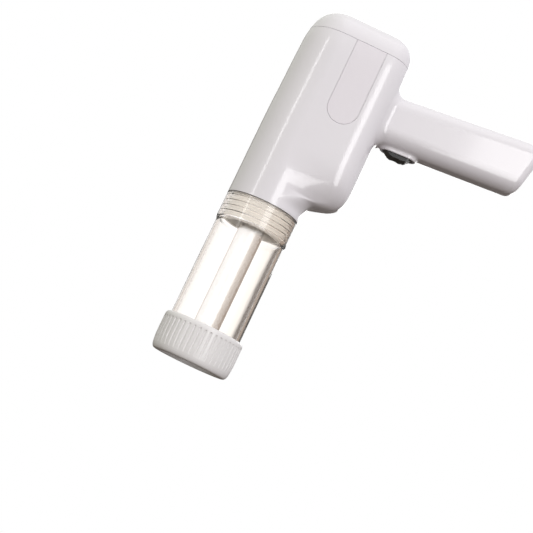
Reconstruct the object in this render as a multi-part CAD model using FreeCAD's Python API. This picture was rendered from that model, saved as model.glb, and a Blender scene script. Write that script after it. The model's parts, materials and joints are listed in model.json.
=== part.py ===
"""Hand-held powered dough press, built piece by piece.

Millimetres. +Z runs up the barrel axis from the mouth of the nozzle cap, +X points from that axis
towards the handle, and the left half of the housing is on the -Y side.
"""

import FreeCAD, Part
import math
import os

V = FreeCAD.Vector
UP = V(0, 0, 1)
SIDE = V(0, 1, 0)

# Housing shell
BODY_R = 33.2            # half width, and the radius of the front
BODY_REAR = 64.5
REAR_CORNER_R = 22.0
NECK_Z = 148.8
CROWN_Z = 285.0          # the rounded top starts here
TOP_Z = 339.6
SEAM_Z = 312.4
SEAM_GAP = 0.3
WALL = 2.4

# Handle, a bar that rises slightly towards its butt
HANDLE_HALF = 19.0
HANDLE_EDGE_R = 14.0
HANDLE_SIDE = [(40, 241.5), (193.5, 253.6), (205.5, 305.0), (40, 286.5)]
HANDLE_TILT = 5.0
ROOT_R = 8.0

# Side inlays
INLAY_X0, INLAY_X1 = 12.2, 40.7
INLAY_Z0 = 236.5
INLAY_DEPTH = 1.1
INLAY_GAP = 0.3

# Barrel, cap and their threads
BARREL_R, BORE_R = 32.0, 29.0
BARREL_Z0, BARREL_Z1 = 6.5, 148.2
COLLAR_R, COLLAR_Z = 33.1, 124.5
PITCH = 4.8
BOSS_R, BOSS_Z = 28.6, 127.0
CAP_R, CAP_H, CAP_LIP = 36.0, 33.6, 3.0
MOUTH_R = 27.0
CAP_RIBS = 46

# Piston drive
ROD_R, ROD_BORE_R = 11.5, 7.0
ROD_Z0, ROD_Z1 = 14.0, 176.0
SCREW_PITCH = 4.0
MOTOR_X = 42.0
IDLER_X = 27.0
GEAR_Z0, GEAR_Z1 = 301.5, 309.0
PLATE_T = 3.0
LOWER_PLATE_Z, UPPER_PLATE_Z = 296.0, 311.0
POSTS = [(-14.0, -19.0), (-14.0, 19.0), (50.0, -15.0), (50.0, 15.0)]

# Screw towers that join the two halves: x, z, half length
TOWERS = [(50.5, 179.0, 27.0), (18.2, 187.0, 31.5), (18.2, 283.0, 31.5), (107.5, 270.0, 17.5),
          (189.5, 263.0, 17.5)]

# Trigger
TRIGGER_PIVOT = (87.0, 249.5)
TRIGGER_X0, TRIGGER_X1 = 72.4, 102.4
TRIGGER_HALF = 6.5
TRIGGER_GAP = 0.6
SKIRT_WALL = 1.3
SKIRT_R = 3.0


# ---------------------------------------------------------------- basic shapes

def cyl(r, z0, z1, x=0.0, y=0.0):
    """Upright cylinder."""
    return Part.makeCylinder(r, z1 - z0, V(x, y, z0))


def tube(r_out, r_in, z0, z1, x=0.0, y=0.0):
    """Upright tube."""
    return cyl(r_out, z0, z1, x, y).cut(cyl(r_in, z0 - 1, z1 + 1, x, y))


def cross_cyl(r, x, z, y0, y1):
    """Cylinder lying along Y."""
    return Part.makeCylinder(r, y1 - y0, V(x, y0, z), SIDE)


def box(x0, x1, y0, y1, z0, z1):
    """Box between two corners."""
    return Part.makeBox(x1 - x0, y1 - y0, z1 - z0, V(x0, y0, z0))


def side_prism(points, y0, y1):
    """Outline given as (x, z), extruded along Y."""
    wire = Part.makePolygon([V(x, y0, z) for x, z in points + points[:1]])
    return Part.Face(wire).extrude(V(0, y1 - y0, 0))


def flat_prism(points, z0, z1):
    """Outline given as (x, y), extruded upwards."""
    wire = Part.makePolygon([V(x, y, z0) for x, y in points + points[:1]])
    return Part.Face(wire).extrude(V(0, 0, z1 - z0))


def turned(points):
    """Outline given as (r, z), revolved about the barrel axis."""
    wire = Part.makePolygon([V(r, 0, z) for r, z in points + points[:1]])
    return Part.Face(wire).revolve(V(0, 0, 0), UP, 360)


def along_handle(shape, x, z):
    """Carries a shape built along +X from the origin to the sloping line of the handle."""
    moved = shape.copy()
    moved.rotate(V(0, 0, 0), SIDE, -HANDLE_TILT)
    moved.translate(V(x, 0, z))
    return moved


def merge(first, *others):
    """Union with seams between coplanar faces removed."""
    return first.fuse(list(others)).removeSplitter()


def thread(r_from, r_to, pitch, z0, z1, w_from, w_to):
    """Helical ridge from one radius to another, right handed, starting on the +X side."""
    sink = 0.3 if r_to > r_from else -0.3
    helix = Part.makeLongHelix(pitch, z1 - z0, r_from, 0)
    helix.translate(V(0, 0, z0))
    corners = [V(r_from - sink, 0, z0 - w_from / 2), V(r_to, 0, z0 - w_to / 2),
               V(r_to, 0, z0 + w_to / 2), V(r_from - sink, 0, z0 + w_from / 2)]
    return Part.Wire(helix.Edges).makePipeShell([Part.makePolygon(corners + corners[:1])], True, True)


def wire_run(points, r):
    """Round wire along straight runs joined by tangent arcs."""
    corners = [V(*p) for p in points]
    edges = []
    here = corners[0]
    for before, corner, after in zip(corners, corners[1:], corners[2:]):
        back, ahead = before - corner, after - corner
        reach = 0.45 * min(back.Length, ahead.Length)
        back.normalize()
        ahead.normalize()
        inward = back + ahead
        inward.normalize()
        half_turn = back.getAngle(ahead) / 2
        radius = reach * math.tan(half_turn)
        middle = corner + inward * (math.hypot(reach, radius) - radius)
        start, end = corner + back * reach, corner + ahead * reach
        edges.append(Part.LineSegment(here, start).toShape())
        edges.append(Part.Arc(start, middle, end).toShape())
        here = end
    edges.append(Part.LineSegment(here, corners[-1]).toShape())
    ring = Part.Wire(Part.Circle(corners[0], corners[1] - corners[0], r).toShape())
    return Part.Wire(edges).makePipeShell([ring], True, True)


# ---------------------------------------------------------------- gears

def gear_outline(teeth, module, addendum, dedendum, backlash):
    """Points of an involute gear, one tooth centred on +X."""
    pitch_r = teeth * module / 2
    base_r = pitch_r * math.cos(math.radians(20))
    involute = math.tan(math.radians(20)) - math.radians(20)
    half = math.pi / (2 * teeth) - backlash / (2 * pitch_r) + involute

    def flank(r):
        if r <= base_r:
            return half
        pressure = math.acos(base_r / r)
        return half - (math.tan(pressure) - pressure)

    root_r, tip_r = pitch_r - dedendum, pitch_r + addendum
    radii = [root_r + (tip_r - root_r) * i / 5 for i in range(6)]
    points = []
    for tooth in range(teeth):
        middle = 2 * math.pi * tooth / teeth
        side = [(r, -flank(r)) for r in radii] + [(r, flank(r)) for r in reversed(radii)]
        points += [(r * math.cos(middle + a), r * math.sin(middle + a)) for r, a in side]
    return points


def gear(teeth, module, x, z0, z1, bore, turn=0.0, y=0.0, backlash=0.25):
    """Spur gear; turn is in fractions of a tooth."""
    outline = gear_outline(teeth, module, 0.88 * module, 1.25 * module, backlash)
    solid = flat_prism(outline, z0, z1)
    solid.rotate(V(0, 0, 0), UP, turn * 360 / teeth)
    solid.translate(V(x, y, 0))
    return solid.cut(cyl(bore, z0 - 1, z1 + 1, x, y))


# ---------------------------------------------------------------- housing surfaces

def section(front, rear, half, z, corner, taper=90.0):
    """Closed outline of the body at one height: round front, straight sides, rounded rear corners.

    The taper is the angle from the back at which the round front ends; below 90 the sides close in."""
    cx, slack = front + half, half - corner
    across, along = math.sin(math.radians(taper)), math.cos(math.radians(taper))
    run = (rear - corner - cx - slack * along) / across
    ax, ay = cx + half * along, half * across
    bx, by = ax + run * across, ay - run * along
    flat = by - corner * across
    turn = math.radians(taper / 2)
    kx, ky = rear - corner + corner * math.cos(turn), flat + corner * math.sin(turn)
    arcs = [((ax, ay), (front, 0), (ax, -ay)), ((bx, -by), (kx, -ky), (rear, -flat)),
            ((rear, flat), (kx, ky), (bx, by))]
    edges = []
    for i, arc in enumerate(arcs):
        start, middle, end = [V(px, py, z) for px, py in arc]
        edges.append(Part.Arc(start, middle, end).toShape())
        edges.append(Part.LineSegment(end, V(*arcs[(i + 1) % 3][0], z)).toShape())
    return Part.Wire(edges)


# Lower body, from the round neck to the straight part: height, front, rear, corner radius, taper
FLARE = [(148.8, -33.2, 33.2, 33.1, 74.0), (153.0, -33.2, 33.2, 33.1, 74.0), (157.0, -33.2, 33.4, 32.4, 73.5),
         (160.4, -33.2, 34.3, 29.4, 72.0), (163.6, -33.2, 35.8, 25.2, 70.0), (165.9, -33.2, 37.8, 21.8, 68.5),
         (167.2, -33.2, 40.6, 19.2, 67.5), (168.1, -33.2, 44.2, 17.4, 67.0), (169.0, -33.2, 48.0, 16.3, 67.5),
         (170.1, -33.2, 51.8, 15.8, 69.0), (171.5, -33.2, 55.4, 15.8, 71.0), (173.8, -33.2, 58.8, 16.3, 74.0),
         (177.2, -33.2, 61.4, 17.2, 78.0), (181.8, -33.2, 63.2, 18.4, 82.0), (187.0, -33.2, 64.1, 19.7, 85.3),
         (193.0, -33.2, 64.4, 20.8, 87.7), (200.0, -33.2, 64.5, 21.6, 89.3), (212.0, -33.2, 64.5, 22.0, 90.0),
         (228.0, -33.2, 64.5, 22.0, 90.0), (244.0, -32.9, 64.5, 22.0, 90.0), (258.0, -32.6, 64.5, 22.0, 90.0),
         (272.0, -32.4, 64.5, 22.0, 90.0)]
# Rounded top: height, front, rear, half width
CROWN = [(285.0, -32.2, 64.5, 33.2), (293.0, -32.0, 64.4, 33.1), (301.0, -31.8, 64.3, 32.8),
         (308.0, -31.2, 64.1, 32.1), (315.0, -30.0, 63.9, 31.0), (321.0, -28.3, 63.3, 29.2),
         (326.0, -26.0, 61.5, 26.6), (330.0, -23.3, 58.8, 23.2), (333.4, -19.4, 55.0, 18.9),
         (336.0, -14.0, 50.8, 14.0), (338.0, -6.4, 46.4, 9.0), (339.0, 2.5, 42.0, 5.0),
         (339.6, 12.0, 37.0, 1.8)]


def flare_sections(inset):
    """Outlines of the lower body, each moved square to the surface by the inset."""
    wires = []
    for i, (z, front, rear, corner, taper) in enumerate(FLARE):
        below, above = FLARE[max(i - 1, 0)], FLARE[min(i + 1, len(FLARE) - 1)]
        run, rise = above[2] - below[2], above[0] - below[0]
        slant = math.hypot(run, rise)
        wires.append(section(front + inset, rear - inset * rise / slant, BODY_R - inset,
                             z + inset * run / slant, corner - inset, taper))
    return wires


def shrink(value, middle, size, inset):
    """Moves an outline coordinate inwards so the whole outline is the inset smaller each side."""
    return middle + (value - middle) * (size - inset) / size


def crown_sections(inset):
    """Outlines of the rounded top."""
    middle, length = (BODY_REAR - BODY_R) / 2, (BODY_REAR + BODY_R) / 2
    wires = []
    for z, front, rear, half in CROWN:
        inner = shrink(half, 0, BODY_R, inset)
        level = shrink(z, CROWN_Z, TOP_Z - CROWN_Z, inset)
        ends = [shrink(end, middle, length, inset) for end in (front, rear)]
        wires.append(section(*ends, inner, level, inner * REAR_CORNER_R / BODY_R))
    return wires


def body_form(inset):
    """Solid the shape of the body, the inset smaller on every side."""
    return Part.makeLoft(flare_sections(inset) + crown_sections(inset), True, False)


def handle_form(inset):
    """Solid the shape of the handle."""
    (x0, z0), (x1, z1), (x2, z2), (x3, z3) = HANDLE_SIDE
    back = 1.2 * inset
    side = [(x0, z0 + inset), (x1 - back, z1 + inset), (x2 - back, z2 - inset), (x3, z3 - inset)]
    half = HANDLE_HALF - inset
    bar = side_prism(side, -half, half)
    long_edges = [e for e in bar.Edges if e.BoundBox.XLength > 100]
    bar = bar.makeFillet(HANDLE_EDGE_R - inset, long_edges)
    butt = [e for e in bar.Edges if e.BoundBox.XMin > 185]
    return bar.makeFillet(8.0 - inset, butt)


def long_slot(x0, x1, half, z0, z1):
    """Upright block with round ends."""
    ends = cyl(half, z0, z1, x0 + half).fuse(cyl(half, z0, z1, x1 - half))
    return merge(ends, box(x0 + half, x1 - half, -half, half, z0, z1))


def trigger_skirt():
    """Rim round the trigger; it stands below the handle and slopes with it."""
    grow = TRIGGER_GAP + SKIRT_WALL
    rim = long_slot(TRIGGER_X0 - grow, TRIGGER_X1 + grow, TRIGGER_HALF + grow, 236.0, 254.0)
    rim = rim.cut(side_prism([(60, 230), (115, 230), (115, 243.6), (60, 240.7)], -20, 20))
    foot = [e for e in rim.Edges if e.BoundBox.ZMax < 244.0]
    return rim.makeFillet(0.9, foot)


def root_edges(shape):
    """Edges where the handle leaves the back of the body."""
    found = []
    for edge in shape.Edges:
        b = edge.BoundBox
        near = b.XMin > 50 and b.XMax < 66 and b.ZMin > 235 and b.ZMax < 300 and abs(b.YMax) < 19.5
        if near and b.YMin > -19.5:
            found.append(edge)
    return found


def skirt_edges(shape):
    """Edges where the rim of the trigger leaves the handle."""
    grow = TRIGGER_GAP + SKIRT_WALL
    found = []
    for edge in shape.Edges:
        b = edge.BoundBox
        inside = b.XMin > TRIGGER_X0 - grow - 0.1 and b.XMax < TRIGGER_X1 + grow + 0.1
        if inside and b.ZMin > 243.7 and b.ZMax < 249 and abs(b.YMin) < TRIGGER_HALF + grow + 0.1:
            found.append(edge)
    return found


def outer_form():
    """Outside of the whole housing."""
    joined = merge(body_form(0), handle_form(0))
    joined = joined.makeFillet(ROOT_R, root_edges(joined))
    joined = merge(joined, trigger_skirt())
    return joined.makeFillet(SKIRT_R, skirt_edges(joined))


# ---------------------------------------------------------------- housing pieces

def inlay_prism(shrunk, y0, y1):
    """Slot shape of the side inlay, open at the seam."""
    x0, x1, z0 = INLAY_X0 + shrunk, INLAY_X1 - shrunk, INLAY_Z0 + shrunk
    r = (x1 - x0) / 2
    foot = cross_cyl(r, (x0 + x1) / 2, z0 + r, y0, y1)
    return foot.fuse(box(x0, x1, y0, y1, z0 + r, SEAM_Z - shrunk))


def tower(x, z, half, side):
    """Screw tower of one half: clearance and head seat on the right, pilot hole on the left."""
    if side > 0:
        return cross_cyl(3.4, x, z, 0.05, half)
    return cross_cyl(3.4, x, z, -half, -0.05)


def tower_holes(x, z, half, side):
    """Holes of one tower; the screw heads sit a third of the way in."""
    seat = half * 0.68
    if side > 0:
        return cross_cyl(1.6, x, z, -1, seat + 1).fuse(cross_cyl(2.9, x, z, seat, half + 3))
    return cross_cyl(1.25, x, z, -seat + 2, 1)


def neck_lip():
    """Inward lip that carries the threaded ring."""
    return tube(BODY_R - 1, 28.9, NECK_Z, NECK_Z + 2.4)


def ledges():
    """Blocks on the side walls that the lower gear plate rests on."""
    blocks = []
    for y0, y1 in ((-31.5, -26.8), (26.8, 31.5)):
        blocks.append(box(-6, 6, y0, y1, 284, LOWER_PLATE_Z - 0.1))
        blocks.append(box(26, 38, y0, y1, 284, LOWER_PLATE_Z - 0.1))
    return blocks


def handle_ribs():
    """Cross ribs that hold the cell holder fore and aft."""
    ribs = []
    for x in (108.6, 184.8):
        for y0, y1 in ((-17.5, -11.0), (11.0, 17.5)):
            ribs.append(box(x, x + 1.6, y0, y1, 248, 297))
    return ribs


def pivot_posts():
    """Bosses that hold the ends of the trigger pin."""
    x, z = TRIGGER_PIVOT
    posts = []
    for y0, y1 in ((-17.5, -8.0), (8.0, 17.5)):
        posts.append(cross_cyl(3.4, x, z, y0, y1))
    return posts


def trigger_slot():
    """Opening in the underside of the handle."""
    gap = TRIGGER_GAP
    return long_slot(TRIGGER_X0 - gap, TRIGGER_X1 + gap, TRIGGER_HALF + gap, 236.0, 250.0)


def socket_slot(grow):
    """Rounded slot for the charging socket, through the butt of the handle."""
    body = box(0, 14, -3.0, 3.0, -1.6 - grow, 1.6 + grow)
    for y in (-3.0, 3.0):
        body = body.fuse(Part.makeCylinder(1.6 + grow, 14, V(0, y, 0), V(1, 0, 0)))
    return along_handle(body, 190.0, 277.8)


def housing():
    """Both halves of the main housing, the top cover and the two side inlays."""
    outer = outer_form()
    hollow = body_form(WALL).fuse(handle_form(WALL))
    wall = outer.cut(hollow).fuse(neck_lip())
    inlay_core = outer.cut(body_form(INLAY_DEPTH))
    below = box(-60, 220, -60, 60, 100, SEAM_Z - SEAM_GAP)
    above = box(-60, 220, -60, 60, SEAM_Z, 360)
    cover = wall.common(above)
    lower = wall.common(below)
    solids = {"top_cover": cover_with_skirt(cover, outer)}
    for name, side in (("left", -1), ("right", 1)):
        y0, y1 = (-60, -0.02) if side < 0 else (0.02, 60)
        whole = outer.common(box(-60, 220, y0, y1, 100, SEAM_Z - SEAM_GAP))
        extra = [tower(x, z, half, side) for x, z, half in TOWERS] + ledges() + handle_ribs() + pivot_posts()
        extra = Part.makeCompound(extra).common(whole)
        shape = lower.common(box(-60, 220, y0, y1, 100, 360)).fuse(extra.Solids)
        shape = shape.cut([tower_holes(x, z, half, side) for x, z, half in TOWERS])
        shape = shape.cut([trigger_slot(), socket_slot(0.3), cross_cyl(1.55, *TRIGGER_PIVOT, -12.3, 12.3)])
        shape = shape.cut(pocket_of(inlay_core, side))
        solids["housing_" + name] = shape.removeSplitter()
        thin = outer.cut(body_form(INLAY_DEPTH - 0.05))
        y = -36 if side < 0 else 28
        solids["side_inlay_" + name] = inlay_prism(INLAY_GAP, y, y + 8).common(thin)
    return solids


def pocket_of(core, side):
    """Recess for one inlay."""
    y = -36 if side < 0 else 28
    return inlay_prism(0, y, y + 8).common(core)


def cover_with_skirt(cover, outer):
    """Adds the inner skirt that locates the cover in the mouth of the housing."""
    hollow = body_form(WALL + 1.7)
    skirt = body_form(WALL + 0.25).cut(hollow).common(box(-60, 220, -60, 60, SEAM_Z - 3.0, SEAM_Z + 0.6))
    root = body_form(WALL - 0.3).cut(hollow).common(box(-60, 220, -60, 60, SEAM_Z, SEAM_Z + 1.6))
    return cover.fuse([skirt, root]).removeSplitter()


# ---------------------------------------------------------------- barrel, cap and piston

def thread_ring():
    """Externally threaded ring held between the housing halves."""
    profile = [(25.0, BOSS_Z), (BOSS_R - 0.6, BOSS_Z), (BOSS_R, BOSS_Z + 0.6), (BOSS_R, 151.5),
               (30.5, 151.5), (30.5, 155.0), (BOSS_R, 155.0), (BOSS_R, 160.0), (25.0, 160.0),
               (25.0, 151.0), (21.0, 151.0), (21.0, 148.0), (25.0, 148.0)]
    return turned(profile).fuse(thread(BOSS_R, 29.8, PITCH, 130.0, 145.5, 2.4, 1.5))


def rod_guide():
    """Flanged bush with a key that keeps the push rod from turning."""
    profile = [(11.8, 151.1), (24.8, 151.1), (24.8, 154.0), (15.0, 155.5), (15.0, 166.0), (11.8, 166.0)]
    key = box(-13.0, -10.4, -1.3, 1.3, 151.1, 166.0)
    return turned(profile).fuse(key)


def barrel():
    """Clear barrel: internal thread in the collar, external thread at the nozzle end."""
    profile = [(BORE_R, BARREL_Z0), (BARREL_R - 0.5, BARREL_Z0), (BARREL_R, BARREL_Z0 + 0.5),
               (BARREL_R, COLLAR_Z - 2.4), (BARREL_R + 0.2, COLLAR_Z - 1.2), (COLLAR_R - 0.2, COLLAR_Z + 0.8),
               (COLLAR_R, COLLAR_Z + 2.0),
               (COLLAR_R, BARREL_Z1 - 0.4), (COLLAR_R - 0.4, BARREL_Z1), (BORE_R, BARREL_Z1)]
    wall = turned(profile).fuse(thread(BARREL_R, 33.15, PITCH, 11.0, 29.0, 2.4, 1.4))
    return wall.cut(thread(BORE_R, 30.25, PITCH, 125.2, 151.0, 3.3, 2.4))


def nozzle_cap():
    """Screw cap with a ribbed grip and an inner lip that holds the die."""
    profile = [(MOUTH_R, 0), (32.0, 0), (32.9, 0.25), (33.7, 0.9), (34.3, 1.9), (34.8, 3.2), (35.2, 5.0),
               (35.6, 8.0), (35.9, 12.0), (CAP_R, 18.0), (CAP_R, 29.6), (35.9, 31.0), (35.5, 32.2),
               (34.8, 33.1), (33.9, 33.5), (33.2, CAP_H), (32.8, 33.5), (32.4, 33.1), (32.4, CAP_LIP),
               (MOUTH_R, CAP_LIP)]
    cap = turned(profile)
    grooves = []
    for i in range(CAP_RIBS):
        angle = 2 * math.pi * i / CAP_RIBS
        x, y = 36.35 * math.cos(angle), 36.35 * math.sin(angle)
        grooves.append(cyl(1.25, -1, 28.2, x, y).fuse(Part.makeSphere(1.25, V(x, y, 28.2))))
    cap = cap.cut(grooves)
    return cap.cut(thread(32.4, 33.6, PITCH, 6.2, 36.2, 3.3, 2.3))


def die_disc():
    """Pressing die: rings of round holes."""
    disc = cyl(32.0, CAP_LIP + 0.02, 5.2)
    holes = [cyl(1.5, 2, 6)]
    for count, radius in ((6, 6.5), (12, 12.8), (18, 18.9), (24, 24.2)):
        for i in range(count):
            angle = 2 * math.pi * (i + 0.5) / count
            holes.append(cyl(1.4, 2, 6, radius * math.cos(angle), radius * math.sin(angle)))
    return disc.cut(holes)


def piston_head():
    """Piston with a seal groove and a hub for the rod."""
    profile = [(0, 9.0), (28.0, 9.0), (28.5, 9.5), (28.5, 12.0), (26.0, 12.0), (26.0, 15.5), (28.5, 15.5),
               (28.5, 17.5), (28.0, 18.0), (16.5, 18.5), (15.0, 20.0), (15.0, 27.0), (11.55, 27.0),
               (11.55, 13.95), (0, 13.95)]
    return turned(profile).cut(cross_cyl(1.5, 0, 22.5, -16, 16))


def piston_seal():
    """Rubber ring with a rounded lip."""
    profile = [(26.05, 12.1), (28.2, 12.1), (28.7, 12.9), (28.7, 14.6), (28.2, 15.4), (26.05, 15.4)]
    return turned(profile)


def push_rod():
    """Hollow rod with a key groove down one side."""
    rod = tube(ROD_R, ROD_BORE_R, ROD_Z0, ROD_Z1)
    rod = rod.cut(cyl(9.05, 159.0, ROD_Z1 + 1))
    rod = rod.cut(box(-13, -9.95, -1.65, 1.65, 30.0, ROD_Z1 + 1))
    return rod.cut(cross_cyl(1.5, 0, 22.5, -16, 16))


def drive_nut():
    """Flanged nut in the top of the push rod."""
    profile = [(4.95, 160.0), (9.0, 160.0), (9.0, ROD_Z1 + 0.05), (13.5, ROD_Z1 + 0.05), (13.5, 180.0),
               (4.95, 180.0)]
    return turned(profile).cut(thread(4.95, 6.15, SCREW_PITCH, 154.0, 186.0, 2.9, 1.9))


def lead_screw():
    """Screw with a thrust collar, a shaft for the gear and a groove for the retaining ring."""
    profile = [(0, 156.0), (4.2, 156.0), (4.6, 156.4), (4.6, 287.0), (8.5, 288.0), (8.5, 291.5), (5.0, 291.5),
               (5.0, 310.0), (4.0, 310.0), (4.0, 317.2), (3.2, 317.2), (3.2, 318.3), (4.0, 318.3),
               (4.0, 320.0), (0, 320.0)]
    return turned(profile).fuse(thread(4.6, 5.8, SCREW_PITCH, 158.0, 285.0, 2.3, 1.3))


# ---------------------------------------------------------------- drive train

def plate(z0, z1, half, front, rear):
    """Gear plate with a round front."""
    return Part.Face(section(front, rear, half, z0, half * REAR_CORNER_R / BODY_R)).extrude(V(0, 0, z1 - z0))


def lower_plate():
    """Plate under the gears."""
    shape = plate(LOWER_PLATE_Z, LOWER_PLATE_Z + PLATE_T, 29.6, -28.9, 60.6)
    holes = [cyl(8.05, 290, 305), cyl(5.0, 290, 305, MOTOR_X), cyl(1.98, 290, 305, IDLER_X)]
    holes += [cyl(1.3, 290, 305, x, y) for x, y in POSTS]
    holes += [cyl(1.3, 290, 305, MOTOR_X + dx, dy) for dx, dy in MOTOR_SCREWS]
    return shape.cut(holes)


MOTOR_SCREWS = [(0.0, 12.5), (0.0, -12.5), (12.5, 0.0)]


def upper_plate():
    """Plate over the gears."""
    shape = plate(UPPER_PLATE_Z, UPPER_PLATE_Z + 2.5, 26.6, -25.9, 57.5)
    holes = [cyl(7.05, 305, 318), cyl(4.3, 305, 318, MOTOR_X), cyl(1.98, 305, 318, IDLER_X)]
    return shape.cut(holes + [cyl(1.6, 305, 318, x, y) for x, y in POSTS])


def gear_posts():
    """Four pillars between the plates."""
    return [tube(2.75, 1.3, LOWER_PLATE_Z + PLATE_T + 0.02, UPPER_PLATE_Z - 0.02, x, y) for x, y in POSTS]


def pan_screw(x, y, z_head, down, length, r=1.25, head_r=2.5, head_h=1.6):
    """Upright pan head screw; the shank goes down or up from its head."""
    if down:
        shape = cyl(head_r, z_head, z_head + head_h, x, y).fuse(cyl(r, z_head - length, z_head, x, y))
        return shape.cut(box(x - 2, x + 2, y - 0.35, y + 0.35, z_head + head_h - 0.7, z_head + 5))
    shape = cyl(head_r, z_head - head_h, z_head, x, y).fuse(cyl(r, z_head, z_head + length, x, y))
    return shape.cut(box(x - 2, x + 2, y - 0.35, y + 0.35, z_head - 5, z_head - head_h + 0.7))


def plate_screws():
    """Screws into the pillars from above and below."""
    screws = [pan_screw(x, y, 313.52, True, 8.0) for x, y in POSTS]
    return screws + [pan_screw(x, y, LOWER_PLATE_Z - 0.02, False, 9.0) for x, y in POSTS]


def bush(r_in, r_out, flange_r, z0, z_flange, z1):
    """Flanged bush, flange at the top."""
    profile = [(r_in, z0), (r_out, z0), (r_out, z_flange), (flange_r, z_flange), (flange_r, z1), (r_in, z1)]
    return turned(profile)


def screw_gear():
    """Large gear on the lead screw, with lightening holes."""
    wheel = gear(38, 1.0, 0, GEAR_Z0, GEAR_Z1, 5.03)
    holes = []
    for i in range(6):
        angle = math.radians(60 * i + 30)
        holes.append(cyl(3.4, 300, 310, 12.2 * math.cos(angle), 12.2 * math.sin(angle)))
    return wheel.cut(holes)


def output_shaft():
    """Planet carrier with its three pins and the shaft of the pinion."""
    shape = cyl(12.0, 263.0, 267.0, MOTOR_X).fuse(cyl(4.0, 267.0, 314.5, MOTOR_X))
    pins = []
    for i in range(3):
        angle = math.radians(120 * i)
        pins.append(cyl(1.5, 250.0, 263.0, MOTOR_X + 9 * math.cos(angle), 9 * math.sin(angle)))
    return shape.fuse(pins)


def gearbox():
    """Ring gear housing of the reduction, with a bearing neck."""
    profile = [(0, 242.1), (18.0, 242.1), (18.0, 270.0), (16.0, 272.5), (14.0, 273.5), (14.0, 295.9),
               (0, 295.9)]
    shape = turned(profile)
    hollow = turned([(0, 242.0), (4.5, 242.0), (4.5, 244.0), (13.2, 244.0), (13.2, 268.0), (4.3, 268.0),
                     (4.3, 297.0), (0, 297.0)])
    shape = shape.cut(hollow)
    shape.translate(V(MOTOR_X, 0, 0))
    outline = gear_outline(48, 0.6, 0.75, 0.5, -0.2)
    teeth = flat_prism(outline, 244.0, 262.0)
    teeth.rotate(V(0, 0, 0), UP, 3.75)
    teeth.translate(V(MOTOR_X, 0, 0))
    shape = shape.cut(teeth)
    return shape.cut([cyl(1.3, 284, 297, MOTOR_X + dx, dy) for dx, dy in MOTOR_SCREWS])


def planet(index):
    """One planet gear on its pin."""
    angle = 120 * index
    wheel = flat_prism(gear_outline(18, 0.6, 0.5, 0.75, 0.2), 250.0, 260.5)
    wheel = wheel.cut(cyl(1.8, 249, 262))
    wheel.rotate(V(0, 0, 0), UP, 10.0 + angle)
    wheel.translate(V(MOTOR_X + 9 * math.cos(math.radians(angle)), 9 * math.sin(math.radians(angle)), 0))
    return wheel


def motor_can():
    """Steel can of the motor with its front plate boss."""
    can = tube(15.5, 14.4, 192.0, 241.0, MOTOR_X)
    front = tube(15.5, 2.2, 241.0, 242.05, MOTOR_X)
    return can.fuse(front).cut(box(MOTOR_X - 20, MOTOR_X + 20, -2.5, 2.5, 228, 235))


def motor_rotor():
    """Armature and shaft."""
    shape = cyl(9.8, 200.0, 227.0, MOTOR_X).fuse(cyl(1.6, 189.0, 260.0, MOTOR_X))
    slots = []
    for i in range(5):
        slot = box(7.0, 11.0, -1.0, 1.0, 199, 228)
        slot.rotate(V(0, 0, 0), UP, 72 * i + 36)
        slot.translate(V(MOTOR_X, 0, 0))
        slots.append(slot)
    return shape.cut(slots)


def motor_magnets():
    """Two curved magnets inside the can."""
    ring = tube(14.35, 10.8, 201.0, 226.0, MOTOR_X)
    keep = [box(MOTOR_X - 9, MOTOR_X + 9, y0, y1, 199, 229) for y0, y1 in ((-16, -5), (5, 16))]
    return [ring.common(k) for k in keep]


def motor_cap():
    """Moulded end cap with a bearing hole."""
    cap = turned([(2.2, 188.0), (13.5, 188.0), (15.2, 189.3), (15.2, 191.95), (2.2, 191.95)])
    cap.translate(V(MOTOR_X, 0, 0))
    return cap


# ---------------------------------------------------------------- electrics

def control_board():
    """Circuit board across the front of the body."""
    return box(-25.0, -23.4, -14.5, 14.5, 172, 286)


def board_parts():
    """Capacitor, power transistors and driver chip."""
    return [Part.makeCylinder(4.0, 7.0, V(-23.38, 7.5, 212), V(1, 0, 0)),
            box(-23.38, -19.0, -11, -1, 205, 214), box(-23.38, -19.0, -11, -1, 218, 227),
            box(-23.38, -21.8, -4, 4, 236, 245), box(-23.38, -19.5, -8, 8, 250, 256)]


def limit_switches():
    """Switches that stop the piston at both ends of its stroke."""
    return [box(-23.38, -15.6, -5, 5, z, z + 8) for z in (173.0, 274.0)]


def handle_line(x):
    """Height of the middle of the handle."""
    return 265.2 + (x - 40) * 0.0872


def cells():
    """Two rechargeable cells, one above the other."""
    pair = []
    for dz in (-9.5, 9.5):
        cell = Part.makeCylinder(9.1, 65.0, V(0, 0, dz), V(1, 0, 0))
        nub = Part.makeCylinder(3.0, 1.0, V(65, 0, dz), V(1, 0, 0))
        pair.append(along_handle(cell.fuse(nub), 114.5, handle_line(114.5)))
    return pair


def cell_holder():
    """Open cradle around the cells."""
    frame = box(-2.2, 68.2, -10.2, 10.2, -19.4, 19.4)
    for dz in (-9.5, 9.5):
        frame = frame.cut(Part.makeCylinder(9.3, 66.6, V(-0.3, 0, dz), V(1, 0, 0)))
    frame = frame.cut([box(8, 58, -12, 12, -22, -4), box(8, 58, -12, 12, 4, 22)])
    frame = frame.cut([box(8, 58, y0, y1, -22, 22) for y0, y1 in ((-12, -9.4), (9.4, 12))])
    return along_handle(frame, 114.5, handle_line(114.5))


def charge_board():
    """Small board that carries the charging socket."""
    return along_handle(box(0, 9.0, -7.5, 7.5, -2.9, -1.7), 185.2, 277.3)


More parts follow.
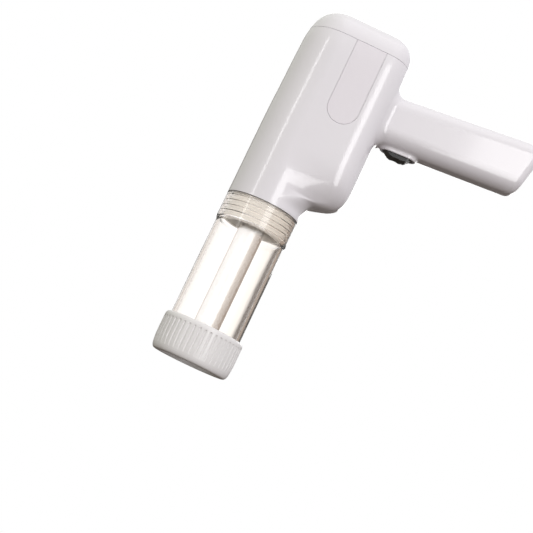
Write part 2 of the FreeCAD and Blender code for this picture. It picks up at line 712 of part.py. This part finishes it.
def charge_socket():
    """Metal shell of the charging socket with its contact tongue."""
    shell = box(0, 7.3, -2.9, 2.9, -1.6, 1.6)
    inner = box(1.0, 8.0, -2.6, 2.6, -1.25, 1.25)
    for y in (-2.9, 2.9):
        shell = shell.fuse(Part.makeCylinder(1.6, 7.3, V(0, y, 0), V(1, 0, 0)))
        inner = inner.fuse(Part.makeCylinder(1.25, 7.0, V(1, y, 0), V(1, 0, 0)))
    shape = shell.cut(inner).fuse(box(0.5, 5.8, -3.2, 3.2, -0.35, 0.35))
    return along_handle(shape, 190.9, 277.8 + 0.08)


def trigger():
    """Rocker trigger: round ends, a finger hollow and grip grooves across its lower face."""
    side = [(72.0, 250.2), (72.0, 243.8), (74.5, 241.9), (80.5, 238.3), (84.0, 237.6), (91.0, 238.0),
            (95.8, 239.0), (98.6, 241.8), (103.0, 244.6), (103.0, 250.6), (92.0, 251.2), (90.5, 253.0),
            (83.5, 253.0), (82.0, 251.0)]
    shape = side_prism(side, -10, 10).common(long_slot(TRIGGER_X0, TRIGGER_X1, TRIGGER_HALF, 230.0, 256.0))
    lower = [e for e in shape.Edges if e.BoundBox.ZMax < 244.7]
    rounded = [e for e in lower if abs(e.BoundBox.YMax) > 1 or e.BoundBox.ZMax < 239.5]
    shape = shape.makeFillet(0.9, rounded)
    grooves = [cross_cyl(0.5, x, z, -10, 10) for x, z in
               ((76.4, 240.6), (78.6, 239.3), (80.8, 238.1), (93.8, 238.5), (96.2, 239.2), (97.9, 240.9))]
    hollow = cross_cyl(13.0, 87.2, 225.7, -10, 10)
    return shape.cut(grooves + [hollow, cross_cyl(1.8, *TRIGGER_PIVOT, -10, 10)])


def micro_switch(x):
    """Switch body with its plunger."""
    return box(x - 6.2, x + 6.2, -3.2, 3.2, 256.0, 262.5).fuse(cyl(1.0, 254.4, 256.0, x))


def housing_screws():
    """Self tapping screws, one in each tower."""
    screws = []
    for x, z, half in TOWERS:
        seat = half * 0.68
        head = cross_cyl(2.6, x, z, seat + 0.03, seat + 2.0)
        shape = head.fuse(cross_cyl(1.2, x, z, -seat + 4, seat + 0.5))
        cross = box(x - 1.6, x + 1.6, seat + 1.1, seat + 3, z - 0.35, z + 0.35)
        cross = cross.fuse(box(x - 0.35, x + 0.35, seat + 1.1, seat + 3, z - 1.6, z + 1.6))
        screws.append(shape.cut(cross))
    return screws


def wires():
    """Insulated leads between the cells, switches, motor and board."""
    power = [(109.0, 2, 280), (84, 6, 281), (66, 12, 273), (54, 20.5, 270), (18, 24.5, 268), (-12, 19, 260),
             (-22.0, 10, 259)]
    signal = [(72.4, 0, 258.0), (66, -7, 262.5), (56, -17.5, 265), (34, -22.5, 265), (8, -24, 263),
              (-12, -18.5, 254), (-22.2, -11.5, 246)]
    motor = [(33, -2.0, 183.0), (28, -11, 178), (8, -24, 179), (-11, -20, 184), (-22.2, -9, 190)]
    runs = {"power_wires": (power, (0, 0, 2.4)), "switch_wires": (signal, (0, 0, 2.4)),
            "motor_wires": (motor, (0, 2.6, 0))}
    groups = {}
    for name, (points, shift) in runs.items():
        second = [tuple(p + d for p, d in zip(point, shift)) for point in points]
        groups[name] = [wire_run(points, 0.8), wire_run(second, 0.8)]
    return groups


# ---------------------------------------------------------------- all pieces

def pieces():
    """Every node with its shape, or list of shapes."""
    x, z = TRIGGER_PIVOT
    nodes = housing()
    nodes.update({
        "thread_ring": thread_ring(),
        "rod_guide": rod_guide(),
        "barrel_seal": tube(32.7, 30.3, BARREL_Z1 + 0.03, NECK_Z - 0.03),
        "barrel": barrel(),
        "nozzle_cap": nozzle_cap(),
        "die_disc": die_disc(),
        "die_gasket": tube(31.8, 29.2, 5.22, BARREL_Z0 - 0.02),
        "piston_head": piston_head(),
        "piston_seal": piston_seal(),
        "piston_pin": cross_cyl(1.45, 0, 22.5, -14.0, 14.0),
        "push_rod": push_rod(),
        "drive_nut": drive_nut(),
        "lead_screw": lead_screw(),
        "screw_gear": screw_gear(),
        "retaining_ring": tube(6.0, 3.25, 317.3, 318.2).cut(box(0, 8, -2.2, 2.2, 316, 320)),
        "lower_gear_plate": lower_plate(),
        "upper_gear_plate": upper_plate(),
        "gear_posts": gear_posts(),
        "gear_plate_screws": plate_screws(),
        "thrust_washer": tube(10.5, 5.3, 291.8, 293.2),
        "lower_bush": bush(5.3, 8.0, 10.0, 293.5, 299.1, 300.6),
        "upper_bush": bush(4.3, 7.0, 8.5, 310.2, 313.6, 315.0),
        "idler_pin": cyl(1.95, LOWER_PLATE_Z, UPPER_PLATE_Z + 2.5, IDLER_X),
        "idler_gear": gear(16, 1.0, IDLER_X, GEAR_Z0, GEAR_Z1, 2.25, 0.5),
        "pinion": gear(14, 1.0, MOTOR_X, GEAR_Z0, GEAR_Z1, 4.03),
        "output_shaft": output_shaft(),
        "planet_gear_1": planet(0),
        "planet_gear_2": planet(1),
        "planet_gear_3": planet(2),
        "gearbox_housing": gearbox(),
        "gearbox_screws": [pan_screw(MOTOR_X + dx, dy, 299.02, True, 12.0, 1.25, 2.4, 1.2)
                           for dx, dy in MOTOR_SCREWS],
        "sun_gear": gear(12, 0.6, MOTOR_X, 250.0, 260.5, 1.62, 0.0, 0.0, 0.2),
        "motor_rotor": motor_rotor(),
        "motor_can": motor_can(),
        "motor_magnets": motor_magnets(),
        "motor_end_cap": motor_cap(),
        "motor_terminals": [box(MOTOR_X + dx - 0.3, MOTOR_X + dx + 0.3, -1.5, 1.5, 184.0, 187.95)
                            for dx in (-9.0, 9.0)],
        "control_board": control_board(),
        "board_components": board_parts(),
        "limit_switches": limit_switches(),
        "battery_cells": cells(),
        "battery_holder": cell_holder(),
        "charging_board": charge_board(),
        "charging_socket": charge_socket(),
        "trigger": trigger(),
        "trigger_pin": cross_cyl(1.5, x, z, -12.0, 12.0),
        "forward_switch": micro_switch(94.2),
        "reverse_switch": micro_switch(79.8),
        "switch_bracket": box(73.0, 101.0, -8.0, 8.0, 262.6, 264.2),
        "housing_screws": housing_screws(),
    })
    nodes.update(wires())
    return nodes


def write_all():
    """Writes one file per node."""
    os.makedirs("parts", exist_ok=True)
    for name, shape in pieces().items():
        solids = shape if isinstance(shape, list) else shape.Solids
        result = solids[0] if len(solids) == 1 else Part.makeCompound(solids)
        result.exportStep("parts/" + name + ".step")


if __name__ == "__main__":
    write_all()
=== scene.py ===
"""Looks for the hand-held dough press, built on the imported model. Metres, in the model's frame."""

import json
import math

import bpy
from mathutils import Matrix, Vector

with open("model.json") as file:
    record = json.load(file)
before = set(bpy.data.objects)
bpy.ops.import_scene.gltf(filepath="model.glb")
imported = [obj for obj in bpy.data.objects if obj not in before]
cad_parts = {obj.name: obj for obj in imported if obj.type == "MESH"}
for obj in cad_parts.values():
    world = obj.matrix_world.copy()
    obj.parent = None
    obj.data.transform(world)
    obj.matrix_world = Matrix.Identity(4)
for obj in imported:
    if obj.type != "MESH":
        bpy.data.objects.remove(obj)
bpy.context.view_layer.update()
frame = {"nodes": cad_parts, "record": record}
NODES = frame["nodes"]
SCENE = bpy.context.scene

MIDDLE = (0.03, 0.0, 0.17)      # the lights turn about this point
FLOOR_HALF = 6.0
FLOOR_Z = -0.0004
FLOOR_FADE = 0.7                # one over the floor's reach from the tool
NOISE_LOW, NOISE_HIGH = 0.3, 0.7    # where nearly all of a noise's values lie
BARREL_TINT = (0.80, 0.62, 0.50)
BARREL_DENSITY = 9.0            # of the tint, per metre of plastic

# ---------------------------------------------------------------- camera

def make_camera():
    """Long lens from slightly below, with the tool leaning to the right in the picture."""
    azimuth, elevation, roll = (math.radians(a) for a in (-0.15, -8.97, 25.32))
    target, distance = Vector((0.0249, 0.0, 0.10385)), 1.001
    back = Vector((math.sin(azimuth) * math.cos(elevation), -math.cos(azimuth) * math.cos(elevation),
                   math.sin(elevation)))
    right = (-back).cross(Vector((0, 0, 1))).normalized()
    up = right.cross(-back)
    side = right * math.cos(roll) + up * math.sin(roll)
    top = up * math.cos(roll) - right * math.sin(roll)
    data = bpy.data.cameras.new("camera")
    data.sensor_width = 36.0
    data.lens = 78.52
    data.clip_start, data.clip_end = 0.01, 50.0
    camera = bpy.data.objects.new("camera", data)
    SCENE.collection.objects.link(camera)
    camera.matrix_world = Matrix((side, top, back)).transposed().to_4x4()
    camera.location = target + back * distance
    SCENE.camera = camera


# ---------------------------------------------------------------- materials

def new_material(name, color, roughness, **sockets):
    """Principled material with its constant values on the shader's own sockets."""
    mat = bpy.data.materials.new(name)
    mat.use_nodes = True
    shader = mat.node_tree.nodes["Principled BSDF"]
    shader.inputs["Base Color"].default_value = (*color, 1)
    shader.inputs["Roughness"].default_value = roughness
    for key, value in sockets.items():
        shader.inputs[key.replace("_", " ")].default_value = value
    return mat, shader


def add(mat, kind, **settings):
    """New node in a material."""
    node = mat.node_tree.nodes.new(kind)
    for key, value in settings.items():
        setattr(node, key, value)
    return node


def link(mat, a, b):
    """Joins an output socket to an input socket."""
    mat.node_tree.links.new(a, b)


def noise(mat, scale, detail=4.0, roughness=0.55, stretch=(1, 1, 1), distortion=0.0):
    """Noise in object space, so that it sits on the surface in metres."""
    coords = add(mat, "ShaderNodeTexCoord")
    mapping = add(mat, "ShaderNodeMapping")
    mapping.inputs["Scale"].default_value = stretch
    link(mat, coords.outputs["Object"], mapping.inputs["Vector"])
    texture = add(mat, "ShaderNodeTexNoise")
    texture.inputs["Scale"].default_value = scale
    texture.inputs["Detail"].default_value = detail
    texture.inputs["Roughness"].default_value = roughness
    texture.inputs["Distortion"].default_value = distortion
    link(mat, mapping.outputs["Vector"], texture.inputs["Vector"])
    return texture.outputs["Fac"]


def spread(mat, value, low, high):
    """Carries the usual range of a noise to low..high."""
    node = add(mat, "ShaderNodeMapRange")
    node.inputs["From Min"].default_value = NOISE_LOW
    node.inputs["From Max"].default_value = NOISE_HIGH
    node.inputs["To Min"].default_value = low
    node.inputs["To Max"].default_value = high
    link(mat, value, node.inputs["Value"])
    return node.outputs["Result"]


def mix_colors(mat, value, first, second):
    """Blend of two colours by a value."""
    node = add(mat, "ShaderNodeMix", data_type="RGBA")
    node.inputs["A"].default_value = (*first, 1)
    node.inputs["B"].default_value = (*second, 1)
    link(mat, value, node.inputs["Factor"])
    return node.outputs["Result"]


def bump(mat, shader, heights, distance):
    """Bump from one or more heights added together."""
    total = heights[0]
    for extra in heights[1:]:
        node = add(mat, "ShaderNodeMath", operation="ADD")
        link(mat, total, node.inputs[0])
        link(mat, extra, node.inputs[1])
        total = node.outputs[0]
    node = add(mat, "ShaderNodeBump")
    node.inputs["Distance"].default_value = distance
    node.inputs["Strength"].default_value = 1.0
    link(mat, total, node.inputs["Height"])
    link(mat, node.outputs["Normal"], shader.inputs["Normal"])


def moulded(name, color, roughness, shift=0.02, grain=0.000015, scale=900, coat=0.0, coat_roughness=0.08,
            uneven=0.2):
    """Injection-moulded plastic: faint flow marks in colour, finer change in gloss, and a fine skin."""
    mat, shader = new_material(name, color, roughness, IOR=1.5)
    shader.inputs["Coat Weight"].default_value = coat
    shader.inputs["Coat Roughness"].default_value = coat_roughness
    broad = noise(mat, 14, 3, 0.5, (1, 1, 0.5), 0.4)
    darker = tuple(c * (1 - shift) for c in color)
    lighter = tuple(min(1.0, c * (1 + shift * 0.6)) for c in color)
    link(mat, mix_colors(mat, spread(mat, broad, 0, 1), darker, lighter), shader.inputs["Base Color"])
    fine = noise(mat, 220, 5, 0.6)
    low, high = roughness * (1 - uneven), roughness * (1 + uneven)
    link(mat, spread(mat, fine, low, high), shader.inputs["Roughness"])
    bump(mat, shader, [noise(mat, scale, 3, 0.5)], grain)
    return mat


def metal(name, color, roughness, stretch=(1, 1, 14), shift=0.08, scale=300):
    """Metal with drawn or turned marks."""
    mat, shader = new_material(name, color, roughness, Metallic=1.0)
    marks = noise(mat, scale, 6, 0.65, stretch)
    darker = tuple(c * (1 - shift) for c in color)
    link(mat, mix_colors(mat, spread(mat, marks, 0, 1), darker, color), shader.inputs["Base Color"])
    link(mat, spread(mat, marks, roughness * 0.75, roughness * 1.3), shader.inputs["Roughness"])
    bump(mat, shader, [marks], 0.00001)
    return mat


def clear_plastic(name):
    """Clear moulded barrel: water clear face on, warm through long paths, with faint flow marks."""
    mat, shader = new_material(name, (1.0, 0.992, 0.984), 0.02, IOR=1.49)
    shader.inputs["Transmission Weight"].default_value = 1.0
    flow = noise(mat, 26, 4, 0.5, (1, 1, 0.25), 0.6)
    link(mat, spread(mat, flow, 0.012, 0.045), shader.inputs["Roughness"])
    bump(mat, shader, [flow, noise(mat, 90, 3, 0.5, (1, 1, 0.3))], 0.00006)
    absorb = add(mat, "ShaderNodeVolumeAbsorption")
    absorb.inputs["Color"].default_value = (*BARREL_TINT, 1)
    absorb.inputs["Density"].default_value = BARREL_DENSITY
    output = mat.node_tree.nodes["Material Output"]
    link(mat, absorb.outputs["Volume"], output.inputs["Volume"])
    return mat


def rubber(name, color, roughness=0.55):
    """Dull rubber or ferrite: cloudy colour and a fine skin."""
    mat, shader = new_material(name, color, roughness)
    fine = noise(mat, 600, 4, 0.6)
    link(mat, mix_colors(mat, spread(mat, noise(mat, 60), 0, 1), tuple(c * 0.7 for c in color), color),
         shader.inputs["Base Color"])
    link(mat, spread(mat, fine, roughness * 0.85, min(1, roughness * 1.2)), shader.inputs["Roughness"])
    bump(mat, shader, [fine], 0.00002)
    return mat


def make_materials():
    """One finished material for each slot of the record."""
    return {
        "white_shell": moulded("shell_white", (0.745, 0.712, 0.750), 0.30, 0.006, 0.000004, 500,
                               coat=1.0, coat_roughness=0.10, uneven=0.05),
        "pearl_inlay": moulded("inlay_pearl", (0.735, 0.692, 0.735), 0.42, 0.01, 0.00001, 1500),
        "white_moulded": moulded("moulded_white", (0.80, 0.79, 0.775), 0.38, 0.02),
        # The thread ring is the same white moulding as the boss; its base colour is darkened to a warm
        # grey as painted shade, standing in for the shading seen on it through the clear barrel.
        "ring_plastic": moulded("ring_painted_shade_grey", (0.62, 0.575, 0.52), 0.4, 0.02),
        "cap_plastic": moulded("cap_grey_white", (0.75, 0.725, 0.730), 0.34, 0.02, 0.00002, 1200,
                               coat=0.2, coat_roughness=0.15),
        "clear_barrel": clear_plastic("barrel_clear"),
        "dark_rubber": rubber("seal_rubber", (0.035, 0.02, 0.016)),
        "steel": metal("steel_plain", (0.62, 0.61, 0.60), 0.28),
        "steel_dark": metal("steel_dark", (0.30, 0.30, 0.31), 0.36),
        "rod_metal": metal("rod_bright", (0.90, 0.89, 0.88), 0.22, (1, 1, 6), 0.03, 200),
        "plate_aluminium": metal("sheet_aluminium", (0.74, 0.74, 0.75), 0.34, (1, 12, 1)),
        "brass": metal("brass_turned", (0.72, 0.52, 0.24), 0.3),
        "gear_plastic": moulded("acetal", (0.80, 0.77, 0.68), 0.36),
        "black_moulded": moulded("moulded_black", (0.018, 0.018, 0.019), 0.4, 0.2),
        "magnet": rubber("ferrite", (0.06, 0.06, 0.062), 0.6),
        "board_green": moulded("board_laminate", (0.02, 0.12, 0.06), 0.35, 0.15),
        "cell_wrap": moulded("cell_sleeve", (0.03, 0.12, 0.30), 0.3, 0.1),
        "trigger_black": moulded("rocker_black", (0.012, 0.011, 0.012), 0.3, 0.2, 0.00002, 1500,
                                 coat=0.3, coat_roughness=0.12),
        "wire_red": rubber("wire_red", (0.42, 0.015, 0.012), 0.4),
        "wire_black": rubber("wire_black", (0.02, 0.02, 0.02), 0.4),
    }


def dress_nodes(materials):
    """Every CAD node that stays takes the finished material of its slot."""
    slots = {s["node"]: s["material_slot"] for s in frame["record"]["subparts"]}
    for name, obj in NODES.items():
        for i in range(len(obj.data.materials)):
            obj.data.materials[i] = materials[slots[name]]
        if not obj.data.materials:
            obj.data.materials.append(materials[slots[name]])


# ---------------------------------------------------------------- studio

def make_floor():
    """Pale floor that fades into the white surround. Only the camera sees it, and only from above."""
    mesh = bpy.data.meshes.new("floor")
    corners = [(FLOOR_HALF * x, FLOOR_HALF * y, FLOOR_Z) for x, y in ((-1, -1), (1, -1), (1, 1), (-1, 1))]
    mesh.from_pydata(corners, [], [(0, 1, 2, 3)])
    floor = bpy.data.objects.new("floor", mesh)
    SCENE.collection.objects.link(floor)
    mat, shader = new_material("floor_pale", (0.86, 0.86, 0.86), 0.7)
    link(mat, mix_colors(mat, spread(mat, noise(mat, 3, 2), 0, 1), (0.85, 0.85, 0.85), (0.87, 0.87, 0.87)),
         shader.inputs["Base Color"])
    path = add(mat, "ShaderNodeLightPath")
    geometry = add(mat, "ShaderNodeNewGeometry")
    front = add(mat, "ShaderNodeMath", operation="GREATER_THAN")
    link(mat, path.outputs["Is Camera Ray"], front.inputs[0])
    link(mat, geometry.outputs["Backfacing"], front.inputs[1])
    coords = add(mat, "ShaderNodeTexCoord")
    mapping = add(mat, "ShaderNodeMapping")
    mapping.inputs["Scale"].default_value = (FLOOR_FADE, FLOOR_FADE, FLOOR_FADE)
    link(mat, coords.outputs["Object"], mapping.inputs["Vector"])
    distance = add(mat, "ShaderNodeTexGradient", gradient_type="SPHERICAL")
    link(mat, mapping.outputs["Vector"], distance.inputs["Vector"])
    fade = add(mat, "ShaderNodeMapRange", interpolation_type="SMOOTHSTEP")
    fade.inputs["From Max"].default_value = 0.75
    link(mat, distance.outputs["Fac"], fade.inputs["Value"])
    visible = add(mat, "ShaderNodeMath", operation="MULTIPLY")
    link(mat, front.outputs["Value"], visible.inputs[0])
    link(mat, fade.outputs["Result"], visible.inputs[1])
    clear = add(mat, "ShaderNodeBsdfTransparent")
    either = add(mat, "ShaderNodeMixShader")
    link(mat, visible.outputs["Value"], either.inputs["Fac"])
    link(mat, clear.outputs["BSDF"], either.inputs[1])
    link(mat, shader.outputs["BSDF"], either.inputs[2])
    link(mat, either.outputs["Shader"], mat.node_tree.nodes["Material Output"].inputs["Surface"])
    mesh.materials.append(mat)


def world_ramp(tree, value, stops):
    """Colour ramp in the world's shader."""
    ramp = tree.nodes.new("ShaderNodeValToRGB")
    elements = ramp.color_ramp.elements
    elements[0].position, elements[0].color = stops[0][0], (*stops[0][1], 1)
    elements[1].position, elements[1].color = stops[-1][0], (*stops[-1][1], 1)
    for position, color in stops[1:-1]:
        elements.new(position).color = (*color, 1)
    tree.links.new(value, ramp.inputs["Fac"])
    return ramp.outputs["Color"]


def world_math(tree, operation, a, b, c=0.5):
    """Math node on sockets or numbers."""
    node = tree.nodes.new("ShaderNodeMath")
    node.operation = operation
    for socket, value in zip(node.inputs, (a, b, c)):
        if isinstance(value, (int, float)):
            socket.default_value = value
        else:
            tree.links.new(value, socket)
    return node.outputs[0]


def world_product(tree, first, second):
    """Product of two colours."""
    node = tree.nodes.new("ShaderNodeMix")
    node.data_type, node.blend_type = "RGBA", "MULTIPLY"
    node.inputs["Factor"].default_value = 1.0
    tree.links.new(first, node.inputs["A"])
    tree.links.new(second, node.inputs["B"])
    return node.outputs["Result"]


# What clear parts show, all round from the back by the left, the front and the right
FLAGS = [
    (0.0, (1, 1, 1)), (0.055, (1, 0.985, 0.97)), (0.075, (0.42, 0.34, 0.31)), (0.09, (0.70, 0.64, 0.60)),
    (0.17, (1, 1, 1)), (0.585, (1, 1, 1)), (0.64, (0.55, 0.49, 0.43)), (0.72, (0.40, 0.33, 0.28)),
    (0.88, (0.33, 0.26, 0.21)), (0.915, (0.36, 0.28, 0.22)), (0.938, (0.035, 0.024, 0.016)),
    (0.972, (0.05, 0.034, 0.024)), (0.983, (0.92, 0.88, 0.82)), (1.0, (1, 1, 1)),
]

# Surround met by other rays: from below to above, from left to right, and from the sides to the back
UPRIGHT = [(0.0, (0.12, 0.10, 0.085)), (0.36, (0.20, 0.175, 0.155)), (0.50, (0.60, 0.59, 0.58)),
           (0.75, (0.86, 0.86, 0.87)), (1.0, (1, 1, 1))]
SIDEWAYS = [(0.0, (0.98, 1.0, 0.88)), (0.35, (0.98, 1.0, 0.95)), (0.55, (1, 1, 1)), (1.0, (1, 1, 1))]
DEPTH = [(0.0, (1, 1, 1)), (0.78, (1, 1, 1)), (0.93, (0.22, 0.20, 0.18)), (1.0, (0.22, 0.20, 0.18))]
AMBIENT_STRENGTH = 0.97
THROUGH_STRENGTH = 1.2


def make_world():
    """White surround, dim below and a little warm on the left; rays through clear parts meet the flags."""
    world = bpy.data.worlds.new("studio")
    SCENE.world = world
    world.use_nodes = True
    tree = world.node_tree
    coords = tree.nodes.new("ShaderNodeTexCoord")
    split = tree.nodes.new("ShaderNodeSeparateXYZ")
    tree.links.new(coords.outputs["Generated"], split.inputs[0])
    height = world_math(tree, "MULTIPLY_ADD", split.outputs["Z"], 0.5)
    across = world_math(tree, "MULTIPLY_ADD", split.outputs["X"], 0.5)
    upright = world_ramp(tree, height, UPRIGHT)
    sideways = world_ramp(tree, across, SIDEWAYS)
    depth = world_ramp(tree, split.outputs["Y"], DEPTH)
    ambient = tree.nodes.new("ShaderNodeBackground")
    ambient.inputs["Strength"].default_value = AMBIENT_STRENGTH
    surround = world_product(tree, world_product(tree, upright, sideways), depth)
    tree.links.new(surround, ambient.inputs["Color"])
    through = tree.nodes.new("ShaderNodeBackground")
    backwards = world_math(tree, "MULTIPLY", split.outputs["Y"], -1.0)
    turn = world_math(tree, "ARCTAN2", split.outputs["X"], backwards)
    circle = world_math(tree, "MULTIPLY_ADD", turn, 0.5 / math.pi)
    tree.links.new(world_ramp(tree, circle, FLAGS), through.inputs["Color"])
    through.inputs["Strength"].default_value = THROUGH_STRENGTH
    white = tree.nodes["Background"]
    white.inputs["Color"].default_value = (1, 1, 1, 1)
    path = tree.nodes.new("ShaderNodeLightPath")
    clear = tree.nodes.new("ShaderNodeMixShader")
    tree.links.new(path.outputs["Is Transmission Ray"], clear.inputs["Fac"])
    tree.links.new(ambient.outputs["Background"], clear.inputs[1])
    tree.links.new(through.outputs["Background"], clear.inputs[2])
    seen = tree.nodes.new("ShaderNodeMixShader")
    tree.links.new(path.outputs["Is Camera Ray"], seen.inputs["Fac"])
    tree.links.new(clear.outputs["Shader"], seen.inputs[1])
    tree.links.new(white.outputs["Background"], seen.inputs[2])
    tree.links.new(seen.outputs["Shader"], tree.nodes["World Output"].inputs["Surface"])


def area_light(name, location, target, size, power):
    """Rectangular soft light that faces a target."""
    data = bpy.data.lights.new(name, "AREA")
    data.shape = "RECTANGLE"
    data.size, data.size_y = size
    data.energy = power
    obj = bpy.data.objects.new(name, data)
    SCENE.collection.objects.link(obj)
    obj.location = location
    obj.rotation_euler = (Vector(location) - Vector(target)).to_track_quat("Z", "Y").to_euler()
    obj.visible_camera = False
    obj.visible_transmission = False


def around(azimuth, elevation, distance):
    """Place round the tool; azimuth 0 is in front of its left side and grows towards the handle."""
    a, e = math.radians(azimuth), math.radians(elevation)
    away = Vector((math.sin(a) * math.cos(e), -math.cos(a) * math.cos(e), math.sin(e)))
    return Vector(MIDDLE) + away * distance


def make_lights():
    """Soft box on the handle side, narrow strip on the other, one above and one behind."""
    area_light("key", around(23, 4, 1.3), MIDDLE, (0.50, 1.5), 8.5)
    area_light("strip", around(-46, 2, 1.2), MIDDLE, (0.12, 1.4), 2.0)
    area_light("top", around(10, 75, 1.2), MIDDLE, (0.9, 0.9), 0.8)
    area_light("rear", around(170, 25, 1.3), MIDDLE, (1.0, 0.9), 5.0)


make_camera()
materials = make_materials()
dress_nodes(materials)
NODES["barrel"].visible_shadow = False
make_floor()
make_world()
make_lights()
SCENE.view_settings.view_transform = "Standard"
